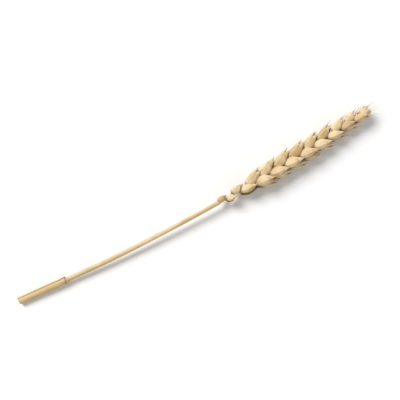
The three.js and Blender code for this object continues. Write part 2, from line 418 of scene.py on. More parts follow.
def rolled_sheet(name, rings, marks):
    """A closed thin sheet: each ring runs out along its outer face and back along its inner."""
    rings = np.asarray(rings, float)
    count, columns = rings.shape[:2]
    points = [tuple(p) for p in rings.reshape(-1, 3)]
    faces = band_faces(count, columns)
    for start in (0, (count - 1) * columns):
        end = start + columns - 1
        for j in range(columns // 2 - 1):
            faces.append((start + j, start + j + 1, end - 1 - j, end - j))
    spread = {mark: list(np.asarray(values, float).reshape(-1)) for mark, values in marks.items()}
    return marked_mesh(name, points, faces, spread)


def wrapped_sheet(name, span, turn, grid, radius_at, thickness_at, edge_at, shade_at):
    """A thin sheet rolled round the stem between two distances along it.

    grid is how many points lie across and along it. Across it runs 0 to 1 over turn radians;
    edge_at moves its upper edge along the stem."""
    columns, stations = grid
    rings, grain, shade = [], [], []
    for i in range(stations):
        share = i / (stations - 1)
        ring, marks, dark = [], [], []
        places = [(1, j / (columns - 1)) for j in range(columns)]
        places += [(0, across) for _, across in reversed(places)]
        for layer, across in places:
            angle = turn[0] + (turn[1] - turn[0]) * across
            reach = span[1] - span[0] + edge_at(across, angle) * rise(share, 0.5, 1)
            distance = span[0] + share * reach
            point, _, side, up = STALK.station(distance)
            radius = radius_at(share, across, angle) + layer * thickness_at(share, angle)
            spot = point + (side * math.cos(angle) + up * math.sin(angle)) * radius
            ring.append(tuple(spot))
            marks.append((math.cos(angle) * radius, math.sin(angle) * radius, distance))
            dark.append(shade_at(share, across))
        rings.append(ring)
        grain += marks
        shade.append(dark)
    mesh = rolled_sheet(name, rings, {"shade": shade})
    store_grain(mesh, grain)
    rest_on_surface(mesh)
    return mesh


# ---------------------------------------------------------------- scale shapes

# Points along and across each shape
SCALE_GRID = (29, 23)
PALEA_GRID = (15, 20)
AWNLET_GRID = (9, 6)
GLUME_KEEL = 0.35  # where a glume's keel lies, from -1 to 1 across it
SCALE_THICKNESS = 0.065  # share of a scale's half width
PALEA_SIZE = 0.93  # of its lemma's


def belly(share):
    """Radius of a lemma along its length: blunt at the base, drawn out at the tip."""
    return math.sin(math.pi * share ** 0.74) ** (0.8 + 0.35 * share)


def glume_body(share):
    """Radius of a glume, which hugs the lemma beneath it and closes round its foot."""
    under = (share * GLUME_LENGTH - LEMMA_START + GLUME_START) / LEMMA_LENGTH
    foot = math.sin(math.pi / 2 * min(share / 0.34, 1)) ** 0.85
    hug = rise(share, 0.15, 0.45)
    return foot * (1 - hug + hug * (0.1 + 0.92 * belly(max(under, 0.02))))


def ridge(value, centre, width):
    return math.exp(-((value - centre) / width) ** 2)


def lemma_relief(share, across):
    """Keel and side veins of a lemma, as a share of its radius."""
    keel = 0.11 * ridge(across, 0, 0.09) * (0.2 + 0.8 * rise(share, 0.3, 0.9))
    veins = sum(0.03 * ridge(across, side * at, 0.06) for side in (-1, 1) for at in (0.28, 0.55, 0.8))
    return keel + veins * rise(share, 0.1, 0.4)


def glume_relief(share, across):
    """A glume's strong keel lies off its middle, with a flatter face beside it."""
    keel = 0.17 * ridge(across, GLUME_KEEL, 0.1) * (0.45 + 0.55 * rise(share, 0.1, 0.8))
    flat = -0.06 * ridge(across, -0.2, 0.35)
    veins = sum(0.028 * ridge(across, at, 0.05) for at in (-0.78, -0.5, -0.22, 0.08, 0.68))
    return (keel + flat + veins * rise(share, 0.08, 0.35)) * rise(share, 0.99, 0.9)


def lemma_reach(share):
    """How far a lemma wraps round on each side, in radians; its tip is rolled shut."""
    side = 1.95 - 0.5 * rise(share, 0.5, 0.85) + 1.6 * rise(share, 0.86, 0.96)
    return -side, side


def glume_reach(share):
    """A glume narrows to its keel: a sloping side outwards, a rounded shoulder inwards."""
    keel = 0.45
    outer = min(max((share - 0.35) / 0.58, 0), 1)
    shoulder = min(max((share - 0.40) / 0.54, 0), 1)
    beak = 0.065 * (1 - 0.8 * rise(share, 0.93, 1))
    high = keel + beak + (1.5 - keel) * (1 - outer ** 1.6)
    low = keel - beak - (1.65 + keel) * (1 - shoulder ** 2.6)
    return low, high


def worn_margin(share, u, seed):
    """Waviness and small chips of a papery margin, in radians towards its middle."""
    side = math.copysign(1, u)
    wave = noise.noise(Vector((share * 6, side * 5.1, seed * 3.7 + 0.5)))
    chip = noise.noise(Vector((share * 24, side * 2.3, seed * 8.9 + 0.5)))
    worn = 0.09 * wave + 0.12 * rise(chip, 0.15, 0.6)
    return -side * worn * abs(u) ** 6 * rise(share, 0.1, 0.3) * rise(share, 0.97, 0.85)


def scale_shape(name, hand, seed, radius, reach, relief, curl):
    """A thin boat-shaped scale of unit length, half width and half depth, its back towards +Z.

    curl bends the last part of it off the spikelet, as a share of its depth."""
    stations, columns = SCALE_GRID
    rings, along, across, inside = [], [], [], []
    for i in range(stations):
        share = 0.012 + 0.976 * (0.5 - 0.5 * math.cos(math.pi * i / (stations - 1))) ** 0.92
        low, high = reach(share)
        bend = 0.05 * noise.noise(Vector((share * 3, seed, 2.5))) * rise(share, 0.95, 0.6)
        lift = curl * rise(share, 0.55, 1) + bend
        outer, inner, spread = [], [], []
        for j in range(columns):
            u = 2 * j / (columns - 1) - 1
            angle = low + (high - low) * (u + 1) / 2 + worn_margin(share, u, seed)
            buckle = 0.03 * noise.noise(Vector((share * 3, u * 1.5, seed * 1.3 + 0.5)))
            far = radius(share) * (1 + relief(share, u) + buckle)
            thin = SCALE_THICKNESS * (1 - 0.55 * u ** 4) * (1 - 0.85 * rise(share, 0.9, 0.99))
            near = max(far - thin, 0.35 * far)
            outer.append((share, far * math.sin(angle), (far * math.cos(angle) + lift) * hand))
            inner.append((share, near * math.sin(angle), (near * math.cos(angle) + lift) * hand))
            spread.append(u)
        rings.append(outer + inner[::-1])
        across.append(spread + spread[::-1])
        inside.append([0.0] * columns + [1.0] * columns)
        along.append([share] * (2 * columns))
    return skin(name, rings, {"along": along, "across": across, "inside": inside})


def palea_shape(name, hand, seed):
    """The inner scale with the kernel behind it: a plump closed body with two soft keels."""
    stations, columns = PALEA_GRID
    rings, along, across = [], [], []
    for i in range(stations):
        share = 0.02 + 0.95 * i / (stations - 1)
        half = 0.9 * belly(share) * (1 + 0.04 * noise.noise(Vector((share * 4, seed, 7))))
        ring, turn = [], []
        for j in range(columns):
            angle = 2 * math.pi * j / columns
            keels = 0.08 * (ridge(angle, math.pi - 0.6, 0.25) + ridge(angle, math.pi + 0.6, 0.25))
            radius = half * (1 + keels)
            width = radius * math.sin(angle) * 0.94
            depth = radius * math.cos(angle) * (0.86 if math.cos(angle) > 0 else 0.82)
            ring.append((share, width, depth * hand))
            turn.append(math.sin(angle))
        rings.append(ring)
        across.append(turn)
        along.append([share] * columns)
    return skin(name, rings, {"along": along, "across": across})


def awnlet_shape(name):
    """A thin bristle of unit length and radius, slightly bowed."""
    stations, columns = AWNLET_GRID
    rings, along, across = [], [], []
    for i in range(stations):
        share = i / (stations - 1)
        radius = (1 - share) ** 0.7 * 0.96 + 0.04
        bow = 1.6 * math.sin(math.pi * share * 0.5) ** 2
        rings.append([
            (share, radius * math.cos(2 * math.pi * j / columns),
             radius * math.sin(2 * math.pi * j / columns) + bow)
            for j in range(columns)
        ])
        across.append([math.sin(2 * math.pi * j / columns) for j in range(columns)])
        along.append([0.4 + 0.55 * share] * columns)
    return skin(name, rings, {"along": along, "across": across})


def hair_shape(name):
    """A stiff straight hair of unit length and radius."""
    rings, along = [], []
    for share in (0.0, 0.55, 1.0):
        radius = 1 - 0.9 * share
        turns = [2 * math.pi * j / 3 for j in range(3)]
        rings.append([(share, radius * math.cos(t), radius * math.sin(t)) for t in turns])
        along.append([0.3 + 0.5 * share] * 3)
    return skin(name, rings, {"along": along, "across": np.zeros((3, 3))})


def both_hands(make):
    """The variants of a shape for the one side of a spikelet, then for the other."""
    return [make(hand, seed) for hand in (1, -1) for seed in range(VARIANTS)]


def glume_shapes(name):
    return both_hands(lambda hand, seed: scale_shape(
        f"{name}_{hand}_{seed}", hand, seed, glume_body, glume_reach, glume_relief, 0.05))


def lemma_shapes(name):
    return both_hands(lambda hand, seed: scale_shape(
        f"{name}_{hand}_{seed}", hand, seed + VARIANTS, belly, lemma_reach, lemma_relief, 0.06))


def palea_shapes(name):
    return both_hands(lambda hand, seed: palea_shape(f"{name}_{hand}_{seed}", hand, seed))


# ---------------------------------------------------------------- node helpers

class Board:
    """Adds nodes to a tree and joins their sockets."""

    def __init__(self, tree):
        self.tree = tree

    def add(self, kind, inputs=None, **settings):
        node = self.tree.nodes.new(kind)
        for key, value in settings.items():
            setattr(node, key, value)
        for key, value in (inputs or {}).items():
            if isinstance(value, bpy.types.NodeSocket):
                self.tree.links.new(value, node.inputs[key])
            else:
                node.inputs[key].default_value = value
        return node

    def math(self, operation, first, second=None):
        inputs = {0: first} if second is None else {0: first, 1: second}
        return self.add("ShaderNodeMath", inputs, operation=operation).outputs[0]

    def vector(self, operation, first, second):
        slot = "Scale" if operation == "SCALE" else 1
        node = self.add("ShaderNodeVectorMath", {0: first, slot: second}, operation=operation)
        return node.outputs[0]

    def mix(self, share, first, second):
        """A colour between two others."""
        node = self.add("ShaderNodeMix", {0: share, 6: first, 7: second}, data_type="RGBA")
        return node.outputs[2]

    def band(self, value, low, high):
        """0 below low, 1 above high, smooth between; either way round."""
        node = self.add("ShaderNodeMapRange", {0: value, 1: low, 2: high, 3: 0.0, 4: 1.0},
                        interpolation_type="SMOOTHSTEP")
        return node.outputs[0]


def group_board(name, kind, inputs, outputs):
    """A node group with named sockets, and the board, input and output nodes to fill it."""
    tree = bpy.data.node_groups.new(name, kind)
    for label, socket, default in inputs:
        made = tree.interface.new_socket(label, in_out="INPUT", socket_type=socket)
        if default is not None:
            made.default_value = default
    for label, socket in outputs:
        tree.interface.new_socket(label, in_out="OUTPUT", socket_type=socket)
    board = Board(tree)
    return board, board.add("NodeGroupInput").outputs, board.add("NodeGroupOutput").inputs


# ---------------------------------------------------------------- setting scales out by nodes

def setting_out_tree():
    """Places copies of the shapes in a collection on points that carry their turn and size."""
    board, given, result = group_board(
        "set_out_scales", "GeometryNodeTree",
        [("Geometry", "NodeSocketGeometry", None),
         ("Shapes", "NodeSocketCollection", None),
         ("Unevenness", "NodeSocketFloat", 0.0001),
         ("Waves per metre", "NodeSocketFloat", 350.0),
         ("Seed", "NodeSocketInt", 1),
         ("Finish", "NodeSocketMaterial", None)],
        [("Geometry", "NodeSocketGeometry")])
    shapes = board.add("GeometryNodeCollectionInfo", {"Collection": given["Shapes"]})
    shapes.inputs["Separate Children"].default_value = True
    shapes.inputs["Reset Children"].default_value = True

    def stored(name, kind):
        node = board.add("GeometryNodeInputNamedAttribute", {"Name": name}, data_type=kind)
        return node.outputs["Attribute"]

    turn = board.add("FunctionNodeEulerToRotation", {0: stored("turn", "FLOAT_VECTOR")})
    copies = board.add("GeometryNodeInstanceOnPoints", {
        "Points": given["Geometry"],
        "Instance": shapes.outputs[0],
        "Pick Instance": True,
        "Instance Index": stored("shape", "INT"),
        "Rotation": turn.outputs[0],
        "Scale": stored("size", "FLOAT_VECTOR"),
    })
    whole = board.add("GeometryNodeRealizeInstances", {"Geometry": copies.outputs[0]})
    waves = board.add("ShaderNodeTexNoise", {
        "Vector": board.add("GeometryNodeInputPosition").outputs[0],
        "W": given["Seed"],
        "Scale": given["Waves per metre"],
        "Detail": 2.0,
    }, noise_dimensions="4D")
    centred = board.vector("SUBTRACT", waves.outputs["Color"], (0.5, 0.5, 0.5))
    swell = board.vector("SCALE", centred, given["Unevenness"])
    moved = board.add("GeometryNodeSetPosition", {"Geometry": whole.outputs[0], "Offset": swell})
    smooth = board.add("GeometryNodeSetShadeSmooth", {"Geometry": moved.outputs[0]})
    done = board.add("GeometryNodeSetMaterial", {
        "Geometry": smooth.outputs[0], "Material": given["Finish"]})
    board.tree.links.new(done.outputs[0], result[0])
    return board.tree


def set_out(name, shapes, copies, finish, uneven, seed):
    """A mesh with every copy in place. A copy is (matrix, size, shape index, tone)."""
    store = bpy.data.collections.new(f"{name}_shapes")
    for number, mesh in enumerate(shapes):
        store.objects.link(bpy.data.objects.new(f"{name}_shape_{number}", mesh))
    points = bpy.data.meshes.new(f"{name}_points")
    points.from_pydata([tuple(m.translation) for m, *_ in copies], [], [])
    turns = [c for m, *_ in copies for c in m.to_3x3().to_euler()]
    sizes = [c for _, size, *_ in copies for c in size]
    points.attributes.new("turn", "FLOAT_VECTOR", "POINT").data.foreach_set("vector", turns)
    points.attributes.new("size", "FLOAT_VECTOR", "POINT").data.foreach_set("vector", sizes)
    points.attributes.new("shape", "INT", "POINT").data.foreach_set("value", [c[2] for c in copies])
    points.attributes.new("tone", "FLOAT", "POINT").data.foreach_set("value", [c[3] for c in copies])
    carrier = bpy.data.objects.new(f"{name}_carrier", points)
    bpy.context.scene.collection.objects.link(carrier)
    tree = bpy.data.node_groups.get("set_out_scales") or setting_out_tree()
    modifier = carrier.modifiers.new("set_out", "NODES")
    modifier.node_group = tree
    inputs = {s.name: s.identifier for s in tree.interface.items_tree if s.in_out == "INPUT"}
    modifier[inputs["Shapes"]] = store
    modifier[inputs["Unevenness"]] = uneven
    modifier[inputs["Seed"]] = seed
    modifier[inputs["Finish"]] = finish
    depsgraph = bpy.context.evaluated_depsgraph_get()
    mesh = bpy.data.meshes.new_from_object(
        carrier.evaluated_get(depsgraph), preserve_all_data_layers=True, depsgraph=depsgraph)
    mesh.name = name
    carrier.modifiers.clear()
    bpy.data.objects.remove(carrier)
    for shape in list(store.objects):
        bpy.data.objects.remove(shape)
    bpy.data.collections.remove(store)
    for spent in ("turn", "size", "shape"):
        if spent in mesh.attributes:
            mesh.attributes.remove(mesh.attributes[spent])
    rest_on_surface(mesh)
    return mesh


# ---------------------------------------------------------------- finishes

def fibre_group():
    """Fine lines that run along a dried stem or scale."""
    name = "straw_fibres"
    if name in bpy.data.node_groups:
        return bpy.data.node_groups[name]
    board, given, result = group_board(
        name, "ShaderNodeTree",
        [("Pattern", "NodeSocketVector", None), ("Lines", "NodeSocketFloat", 20.0),
         ("Stretch", "NodeSocketFloat", 0.05)],
        [("Value", "NodeSocketFloat"), ("Fine", "NodeSocketFloat")])
    parts = board.add("ShaderNodeSeparateXYZ", {0: given["Pattern"]}).outputs
    slow = board.math("MULTIPLY", parts[2], given["Stretch"])
    lined = board.add("ShaderNodeCombineXYZ", {0: parts[0], 1: parts[1], 2: slow}).outputs[0]
    coarse = board.add("ShaderNodeTexNoise", {
        "Vector": lined, "Scale": given["Lines"], "Detail": 3.0, "Roughness": 0.6})
    fine = board.add("ShaderNodeTexNoise", {
        "Vector": lined, "Scale": board.math("MULTIPLY", given["Lines"], 3.1), "Detail": 2.0})
    board.tree.links.new(coarse.outputs["Fac"], result["Value"])
    board.tree.links.new(fine.outputs["Fac"], result["Fine"])
    return board.tree


def weathering_group():
    """Slow patches of paler and browner straw, and small dark flecks."""
    name = "straw_weathering"
    if name in bpy.data.node_groups:
        return bpy.data.node_groups[name]
    board, given, result = group_board(
        name, "ShaderNodeTree",
        [("Place", "NodeSocketVector", None), ("Patches", "NodeSocketFloat", 120.0),
         ("Pale", "NodeSocketColor", (0.85, 0.7, 0.45, 1)),
         ("Tan", "NodeSocketColor", (0.6, 0.42, 0.2, 1)),
         ("Fleck", "NodeSocketColor", (0.2, 0.1, 0.04, 1)),
         ("Tone", "NodeSocketFloat", 0.5), ("Flecks", "NodeSocketFloat", 0.3)],
        [("Color", "NodeSocketColor")])
    patches = board.add("ShaderNodeTexNoise", {
        "Vector": given["Place"], "Scale": given["Patches"], "Detail": 3.0, "Roughness": 0.55})
    lean = board.math("SUBTRACT", given["Tone"], 0.5)
    patch = board.math("ADD", patches.outputs["Fac"], board.math("MULTIPLY", lean, 0.75))
    share = board.band(patch, 0.36, 0.78)
    straw = board.mix(share, given["Pale"], given["Tan"])
    specks = board.add("ShaderNodeTexNoise", {
        "Vector": given["Place"], "Scale": board.math("MULTIPLY", given["Patches"], 14.0),
        "Detail": 4.0, "Roughness": 0.7})
    speck = board.math("MULTIPLY", board.band(specks.outputs["Fac"], 0.66, 0.78), given["Flecks"])
    board.tree.links.new(board.mix(speck, straw, given["Fleck"]), result["Color"])
    return board.tree


def use_group(board, tree, inputs):
    return board.add("ShaderNodeGroup", inputs, node_tree=tree).outputs


def material_board(name, roughness, specular, sheen=0.0):
    """A material with its shader; constants sit on the shader's own sockets."""
    material = bpy.data.materials.new(name)
    material.use_nodes = True
    board = Board(material.node_tree)
    shader = next(n for n in material.node_tree.nodes if n.type == "BSDF_PRINCIPLED")
    shader.inputs["Roughness"].default_value = roughness
    shader.inputs["Specular IOR Level"].default_value = specular
    shader.inputs["Sheen Weight"].default_value = sheen
    return material, board, shader


def scale_finish(name, settings, shift=0.0, veins=9.0, recess_shade=0.0, keel=0.0):
    """Papery straw of a scale: veins along it, browner at its base and tip. The brown at its base is
    painted shade, where its foot sinks into the gaps between the scales.

    Its inner face is browned as painted shade too. Its edges are thin and pale, or, where the
    recess argument is above 0, browned as painted shade where they go down into the gaps."""
    material, board, shader = material_board(name, 0.62, 0.35, 0.08)
    along = board.add("ShaderNodeAttribute", attribute_name="along").outputs["Fac"]
    across = board.add("ShaderNodeAttribute", attribute_name="across").outputs["Fac"]
    tone = board.add("ShaderNodeAttribute", attribute_name="tone").outputs["Fac"]
    place = board.add("ShaderNodeTexCoord").outputs["Object"]
    own = board.math("MULTIPLY", tone, 37.0)
    pattern = board.add("ShaderNodeCombineXYZ", {0: across, 1: own, 2: along}).outputs[0]
    fibres = use_group(board, fibre_group(), {"Pattern": pattern, "Lines": 7.0, "Stretch": 0.16})
    shifted = board.math("ADD", tone, shift)
    straw = use_group(board, weathering_group(), {
        "Place": place, "Patches": 160.0, "Pale": settings.pale, "Tan": settings.tan,
        "Fleck": settings.brown, "Tone": shifted, "Flecks": 0.55})
    wave = board.math("SINE", board.math("MULTIPLY", across, veins * math.pi))
    lines = board.math("ADD", board.math("MULTIPLY", wave, 0.18), fibres["Value"])
    blush = board.add("ShaderNodeTexNoise", {"Vector": place, "Scale": 95.0, "Detail": 2.0})
    blush_share = board.math("MULTIPLY", board.band(blush.outputs["Fac"], 0.5, 0.75), 0.35)
    blushed = board.mix(blush_share, straw["Color"], settings.rosy)
    line_share = board.math("MULTIPLY", board.band(lines, 0.35, 0.85), 0.42)
    veined = board.mix(line_share, blushed, settings.tan)
    # A lighter line along the keel, in the thin edges' colour, is a painted highlight where light
    # catches the ridge.
    off_keel = board.math("ABSOLUTE", board.math("SUBTRACT", across, keel))
    keel_highlight = board.math("MULTIPLY", board.band(off_keel, 0.10, 0.0), 0.45)
    lined = board.mix(keel_highlight, veined, settings.edge)
    # Browner towards the scale's base: painted shade where its foot sinks into the gaps between the
    # scales.
    base = board.math("MULTIPLY", board.band(along, 0.30, 0.02), 0.8)
    # Inner faces, and sides that go down into the gaps, are browned as painted shade; the recess
    # argument sets how much for the sides.
    within = board.add("ShaderNodeAttribute", attribute_name="inside").outputs["Fac"]
    edge = board.math("ABSOLUTE", across)
    recess = board.math("MULTIPLY", board.band(edge, 0.5, 0.9), recess_shade)
    lowest = board.math("MAXIMUM", board.math("MULTIPLY", within, 0.7), recess)
    deep = board.mix(board.math("MAXIMUM", base, lowest), lined, settings.brown)
    tip = board.math("MULTIPLY", board.band(along, 0.80, 1.0), 0.28)
    tipped = board.mix(tip, deep, settings.brown)
    paleness = 0.4 if recess_shade == 0 else 0.0
    thin = board.math("MULTIPLY", board.band(edge, 0.86, 0.99), paleness)
    done = board.mix(thin, tipped, settings.edge)
    board.tree.links.new(done, shader.inputs["Base Color"])
    rough = board.math("ADD", board.math("MULTIPLY", fibres["Fine"], 0.25), 0.46)
    board.tree.links.new(rough, shader.inputs["Roughness"])
    height = board.math("ADD", board.math("MULTIPLY", wave, 0.5), fibres["Value"])
    bump = board.add("ShaderNodeBump", {
        "Height": board.math("ADD", height, board.math("MULTIPLY", fibres["Fine"], 0.4)),
        "Distance": 0.05 * MM, "Strength": 0.6})
    board.tree.links.new(bump.outputs[0], shader.inputs["Normal"])
    return material


def stem_finish(name, settings, roughness, gloss, patches):
    """Smooth or dull straw with lines along it and slow browner patches."""
    material, board, shader = material_board(name, roughness, gloss)
    grain = board.add("ShaderNodeAttribute", attribute_name="grain").outputs["Vector"]
    shade = board.add("ShaderNodeAttribute", attribute_name="shade").outputs["Fac"]
    fibres = use_group(board, fibre_group(), {
        "Pattern": grain, "Lines": 4200.0, "Stretch": 0.012})
    broad = use_group(board, fibre_group(), {
        "Pattern": grain, "Lines": 1100.0, "Stretch": 0.02})
    straw = use_group(board, weathering_group(), {
        "Place": grain, "Patches": patches, "Pale": settings.pale, "Tan": settings.tan,
        "Fleck": settings.brown, "Tone": 0.5, "Flecks": 0.5})
    share = board.math("MULTIPLY", board.band(broad["Value"], 0.40, 0.68), 0.55)
    streaked = board.mix(share, straw["Color"], settings.tan)
    fine = board.math("MULTIPLY", board.band(fibres["Value"], 0.45, 0.7), 0.3)
    lined = board.mix(fine, streaked, settings.edge)
    browned = board.mix(shade, lined, settings.brown)
    board.tree.links.new(browned, shader.inputs["Base Color"])
    rough = board.math("ADD", board.math("MULTIPLY", fibres["Fine"], 0.3), roughness - 0.15)
    board.tree.links.new(rough, shader.inputs["Roughness"])
    height = board.math("ADD", fibres["Value"], board.math("MULTIPLY", broad["Value"], 1.2))
    bump = board.add("ShaderNodeBump", {"Height": height, "Distance": 0.05 * MM, "Strength": 0.5})
    board.tree.links.new(bump.outputs[0], shader.inputs["Normal"])
    return material


# ---------------------------------------------------------------- settings

def colour(name, description, value):
    return FloatVectorProperty(name=name, description=description, subtype="COLOR", size=4,
                               default=value, min=0, max=1)


def size(name, description, value):
    return FloatProperty(name=name, description=description, default=value, min=0,
                         unit="LENGTH", precision=5)


class WheatScaleSettings(bpy.types.PropertyGroup):
    """Sizes and colours of the ear's scales"""
    pale: colour("Pale straw", "Colour of the paler scales", (0.81, 0.645, 0.385, 1))
    tan: colour("Tan straw", "Colour of the darker patches and the veins", (0.60, 0.40, 0.19, 1))
    # Brown also paints shade: the browned bases, inner faces and sunken sides of the scales are
    # painted shade.
    brown: colour("Brown", "Colour at the bases and tips and of the flecks", (0.24, 0.12, 0.05, 1))
    rosy: colour("Rosy straw", "Colour of the faintly rosy patches", (0.78, 0.54, 0.34, 1))
    # The thin edges' colour also paints the highlight along each scale's keel.
    edge: colour("Thin edge", "Colour of the thin edges", (0.90, 0.78, 0.56, 1))
    swell: size("Unevenness", "How far a scale's surface swells and sinks", 0.24 * MM)
    awn_radius: size("Awnlet radius", "Radius of an awnlet at its root", 0.11 * MM)
    hair_length: size("Hair length", "Length of the longest hairs on the rachis", 0.9 * MM)
    hairs: IntProperty(name="Hairs", description="Hairs at each spikelet's foot", default=34, min=0)
    jitter: FloatProperty(name="Jitter", description="Most that a scale turns from its place",
                          default=math.radians(3), min=0, subtype="ANGLE")
    seed: IntProperty(name="Seed", description="Seed of the random turns", default=7, min=0)


class WheatStemSettings(bpy.types.PropertyGroup):
    """Sizes and colours of the stem and its sheath"""
    pale: colour("Pale straw", "Main colour of the stem", (0.74, 0.55, 0.29, 1))
    tan: colour("Tan straw", "Colour of the streaks", (0.55, 0.36, 0.16, 1))
    brown: colour("Brown", "Colour of the flecks and cut edges", (0.24, 0.12, 0.05, 1))
    edge: colour("Light lines", "Colour of the fine light lines", (0.88, 0.73, 0.48, 1))
    sheath_gap: size("Sheath gap", "Space between the stem and its sheath", 0.2 * MM)
    sheath_thickness: size("Sheath thickness", "Thickness of the rolled sheath", 0.16 * MM)
    ragged: size("Ragged edge", "How far the sheath's torn edge wanders", 1.4 * MM)


class WheatStageSettings(bpy.types.PropertyGroup):
    """Floor, light and camera"""
    floor: colour("Floor", "Colour of the floor", (0.92, 0.92, 0.92, 1))
    roll: FloatProperty(name="Camera roll", description="Slope of the stem in the view",
                        default=math.radians(26), subtype="ANGLE")
    lean: FloatProperty(name="Camera lean", description="How far the view leans to one side row",
                        default=math.radians(12), subtype="ANGLE")
    key: FloatProperty(name="Key light", description="Strength of the key light", default=2.7, min=0)
    fill: FloatProperty(name="Fill light", description="Strength of the fill", default=0.35, min=0)
    room: FloatProperty(name="Room light", description="Strength of the room's light",
                        default=0.4, min=0)
    lens: FloatProperty(name="Lens", description="Focal length of the camera", default=85,
                        min=10, subtype="DISTANCE_CAMERA")


# ---------------------------------------------------------------- operators

STALK_SIDES = 40
BORE_STATIONS = 40
STEM_STATIONS = 160
RACHIS_STATIONS = 260
RACHIS_STOP = 0.2 * MM  # how far before the line's end the rachis stops
NECK_SWELL = 0.16 * MM
FLATTENING = 0.25  # how much wider than round the rachis is
CUT_ROUGHNESS = 0.12 * MM
STALK_WAVES = 0.05 * MM


class WHEAT_OT_stalk(bpy.types.Operator):
    """Makes the hollow straw and the zigzag rachis that it grows into"""
    bl_idname = "wheat.stalk"
    bl_label = "Stalk"

    def execute(self, context):
        settings = context.scene.wheat_stem
        stations = np.concatenate([
            np.linspace(BORE_LENGTH, 0, BORE_STATIONS),
            np.linspace(0, STEM_LENGTH, STEM_STATIONS),
            np.linspace(STEM_LENGTH, STALK.length - RACHIS_STOP, RACHIS_STATIONS)[1:],
        ])
        rings, grain, shade = [], [], []
        for distance in stations:
            bore = len(rings) < BORE_STATIONS
            point, along, side, up = STALK.station(distance)
            radius = BORE_RADIUS if bore else stalk_radius(distance, STALK.length)
            swell = 0 if bore else NECK_SWELL * ridge(distance, STEM_LENGTH, 1.2 * MM)
            flat = 0 if bore else rise(ear_share(distance, STALK.length), 0, 0.06)
            centre = point + side * (0 if bore else zigzag(distance, STALK.length))
            ring, marks, dark = [], [], []
            for j in range(STALK_SIDES):
                turn = 2 * math.pi * j / STALK_SIDES
                wave = noise.noise(Vector((math.cos(turn) * 2, math.sin(turn) * 2, distance * 60)))
                thick = radius + swell + (0 if bore else STALK_WAVES * wave)
                wide = thick * (1 + FLATTENING * flat) * math.cos(turn)
                deep = thick * (1 - FLATTENING * flat) * math.sin(turn)
                rough = noise.noise(Vector((math.cos(turn) * 3, math.sin(turn) * 3, 5)))
                rag = CUT_ROUGHNESS * rough
                end = rag if distance < 0.1 * MM else 0
                ring.append(tuple(centre + side * deep + up * wide + along * end))
                marks.append((math.cos(turn) * radius, math.sin(turn) * radius, distance))
                dark.append(0.55 if bore else 0.35 * rise(distance, 0.6 * MM, 0))
            rings.append(ring)
            grain.append(marks)
            shade.append(dark)
        mesh = skin("stalk", rings, {"shade": shade})
        ends = [tuple(np.mean(grain[0], axis=0)), tuple(np.mean(grain[-1], axis=0))]
        store_grain(mesh, [m for ring in grain for m in ring] + ends)
        rest_on_surface(mesh)
        finish = stem_finish("stem_straw", settings, 0.42, 0.5, 90.0)
        show("stalk", mesh, finish, ["culm_and_rachis"])
        return {"FINISHED"}


SHEATH_TURN = (0, 1.15 * 2 * math.pi)  # how far round the stem it runs
SHEATH_GRID = (110, 60)
SHEATH_LIFT = 0.34 * MM  # how far its outer edge lies over its inner one
SHEATH_SLACK = 0.06 * MM
SHEATH_FLARE = 0.07 * MM
SHEATH_RIBS = 30
RIB_HEIGHT = 0.018 * MM


class WHEAT_OT_sheath(bpy.types.Operator):
    """Makes the flag leaf's sheath, a rolled sheet with a torn upper edge"""
    bl_idname = "wheat.sheath"
    bl_label = "Sheath"

    def execute(self, context):
        settings = context.scene.wheat_stem
        low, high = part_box("flag_leaf_sheath")

        def radius_at(share, across, angle):
            lift = SHEATH_LIFT * rise(across, 0.3, 1)
            slack = SHEATH_SLACK * noise.noise(Vector((angle, share * 4, 3)))
            flare = SHEATH_FLARE * rise(share, 0.95, 1)
            return CULM_RADIUS + settings.sheath_gap + lift + slack + flare

        def thickness_at(share, angle):
            ribs = RIB_HEIGHT * math.cos(angle * SHEATH_RIBS)
            return (settings.sheath_thickness + ribs) * (1 - 0.6 * rise(share, 0.9, 1))

        def edge_at(across, angle):
            place = Vector((math.cos(angle), math.sin(angle), 2 * across))
            split = 2.2 * ridge(angle, 2.2, 0.05) + 1.3 * ridge(angle, 4.4, 0.035)
            wander = noise.noise(place) + 0.3 * noise.noise(place * 2) + 0.07 * noise.noise(place * 12)
            corner = rise(abs(across - 0.5), 0.38, 0.5)
            return settings.ragged * (wander - 0.35 - split - 1.1 * corner)

        def shade_at(share, across):
            margin = 0.3 * rise(abs(across - 0.5), 0.47, 0.5)
            return 0.6 * rise(share, 0.955, 1) + 0.4 * rise(share, 0.02, 0) + margin

        mesh = wrapped_sheet("sheath", (0, high.x - low.x), SHEATH_TURN, SHEATH_GRID,
                             radius_at, thickness_at, edge_at, shade_at)
        finish = stem_finish("sheath_straw", settings, 0.6, 0.3, 60.0)
        show("sheath", mesh, finish, ["flag_leaf_sheath"])
        return {"FINISHED"}


LIGULE_TURN = (0.5, 5.6)
LIGULE_GRID = (80, 14)
LIGULE_BELOW = 2.4 * MM
LIGULE_ABOVE = 0.9 * MM
LIGULE_GAP = 0.06 * MM
LIGULE_THICKNESS = 0.05 * MM
LIGULE_SHADE = 0.12


